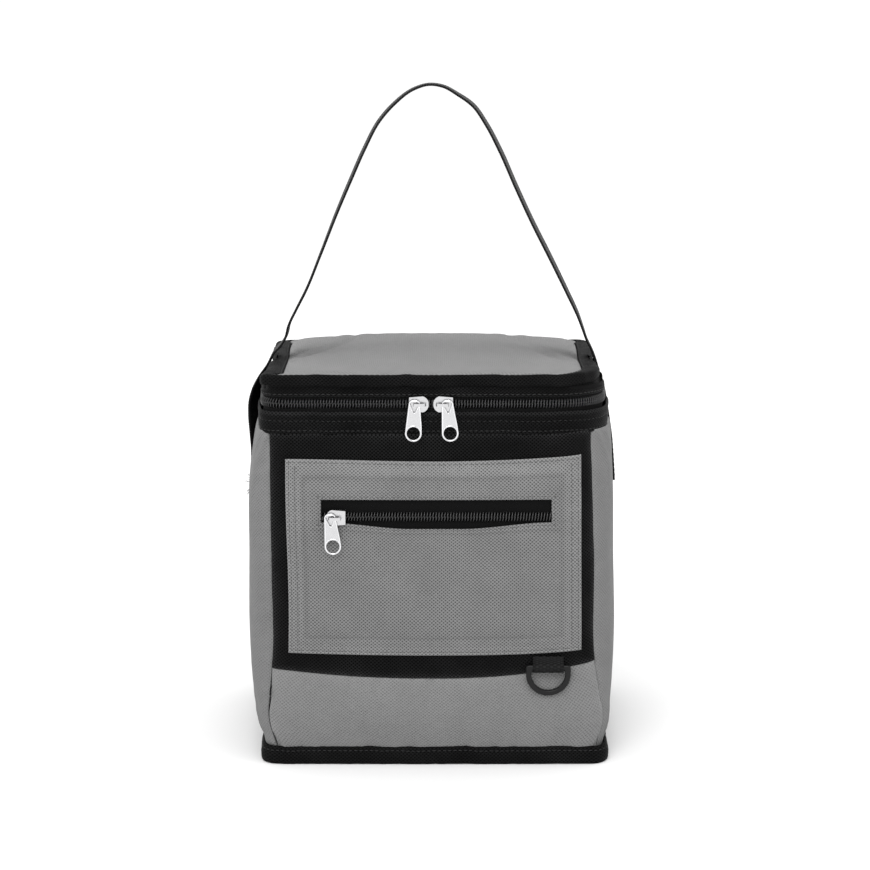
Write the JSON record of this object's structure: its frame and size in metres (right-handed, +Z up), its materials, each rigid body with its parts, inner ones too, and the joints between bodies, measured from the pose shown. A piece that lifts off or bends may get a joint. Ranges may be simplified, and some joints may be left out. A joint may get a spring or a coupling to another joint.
{
  "type": "insulated cooler bag",
  "caption": "Soft upright insulated lunch cooler with a zipped flap lid, a zipped front pocket, a D-ring and an arched webbing carry strap.",
  "frame": {"origin": "centre of the base, on the floor", "axes": "+Z up, -Y the front with the pocket, +X to the right as seen from the front"},
  "size_m": [0.233, 0.1654, 0.3996],
  "materials": {
    "grey_fabric": "embossed nonwoven, matte",
    "black_fabric": "embossed nonwoven, matte",
    "webbing": "ribbed polypropylene webbing",
    "zip_tape": "knitted tape",
    "zip_coil": "moulded nylon coil",
    "foam": "closed-cell foam sheet",
    "liner_film": "silvered film, soft gloss",
    "board": "rigid sheet",
    "nickel": "bright nickel plate",
    "ring_plastic": "moulded, soft gloss"
  },
  "bodies": {
    "bag": {"front_lower_panel": "grey_fabric", "front_upper_panel": "black_fabric", "back_panel": "grey_fabric", "left_panel": "grey_fabric", "right_panel": "grey_fabric", "bottom_panel": "black_fabric", "base_board": "board", "bottom_binding": "black_fabric", "bottom_foam": "foam", "front_foam": "foam", "back_foam": "foam", "left_foam": "foam", "right_foam": "foam", "liner": "liner_film", "mouth_binding": "black_fabric", "lower_zip_band": "black_fabric", "lower_zip_tape": "zip_tape", "lower_coil": "zip_coil", "back_rim_strip": "black_fabric", "hinge_tape": "black_fabric", "left_zip_stop": "zip_coil", "right_zip_stop": "zip_coil", "pocket_panel": "grey_fabric", "pocket_lower_tape": "zip_tape", "pocket_upper_tape": "zip_tape", "pocket_lower_coil": "zip_coil", "pocket_upper_coil": "zip_coil", "d_ring_tab": "webbing", "left_strap_tail": "webbing", "right_strap_tail": "webbing"},
    "lid": {"lid_panel": "grey_fabric", "lid_foam": "foam", "lid_liner": "liner_film", "lid_binding": "black_fabric", "lid_gusset": "black_fabric", "upper_zip_tape": "zip_tape", "upper_coil": "zip_coil", "lid_back_strip": "black_fabric"},
    "strap": {"carry_strap": "webbing"},
    "left_slider": {"left_slider": "nickel"},
    "right_slider": {"right_slider": "nickel"},
    "pocket_slider": {"pocket_slider": "nickel"},
    "left_puller": {"left_puller": "nickel"},
    "right_puller": {"right_puller": "nickel"},
    "pocket_puller": {"pocket_puller": "nickel"},
    "d_ring": {"d_ring": "ring_plastic"}
  },
  "joints": [
    {"name": "lid_hinge", "type": "hinge", "parent": "bag", "child": "lid", "pos_m": [0, 0.0786, 0.21715], "axis": [-1, 0, 0], "range_deg": [0, 175], "deforming": ["hinge_tape", "carry_strap"]},
    {"name": "strap_swing", "type": "hinge", "parent": "bag", "child": "strap", "pos_m": [0, 0, 0.2411], "axis": [1, 0, 0], "range_deg": [-80, 80], "deforming": ["carry_strap"]},
    {"name": "left_slide", "type": "slide", "parent": "bag", "child": "left_slider", "axis": [-1, 0, 0], "range_m": [0, 0.074]},
    {"name": "right_slide", "type": "slide", "parent": "bag", "child": "right_slider", "axis": [1, 0, 0], "range_m": [0, 0.074]},
    {"name": "pocket_slide", "type": "slide", "parent": "bag", "child": "pocket_slider", "axis": [1, 0, 0], "range_m": [0, 0.118]},
    {"name": "left_puller_swing", "type": "hinge", "parent": "left_slider", "child": "left_puller", "pos_m": [-0.0106, -0.0807, 0.21715], "axis": [0, 1, 0], "range_deg": [-12, 78]},
    {"name": "right_puller_swing", "type": "hinge", "parent": "right_slider", "child": "right_puller", "pos_m": [0.0084, -0.0807, 0.21715], "axis": [0, -1, 0], "range_deg": [-15, 75]},
    {"name": "pocket_puller_swing", "type": "hinge", "parent": "pocket_slider", "child": "pocket_puller", "pos_m": [-0.0596, -0.0839, 0.1509], "axis": [0, -1, 0], "range_deg": [-75, 25]},
    {"name": "ring_swing", "type": "hinge", "parent": "bag", "child": "d_ring", "pos_m": [0.068, -0.0804, 0.0601], "axis": [-1, 0, 0], "range_deg": [0, 140]}
  ]
}
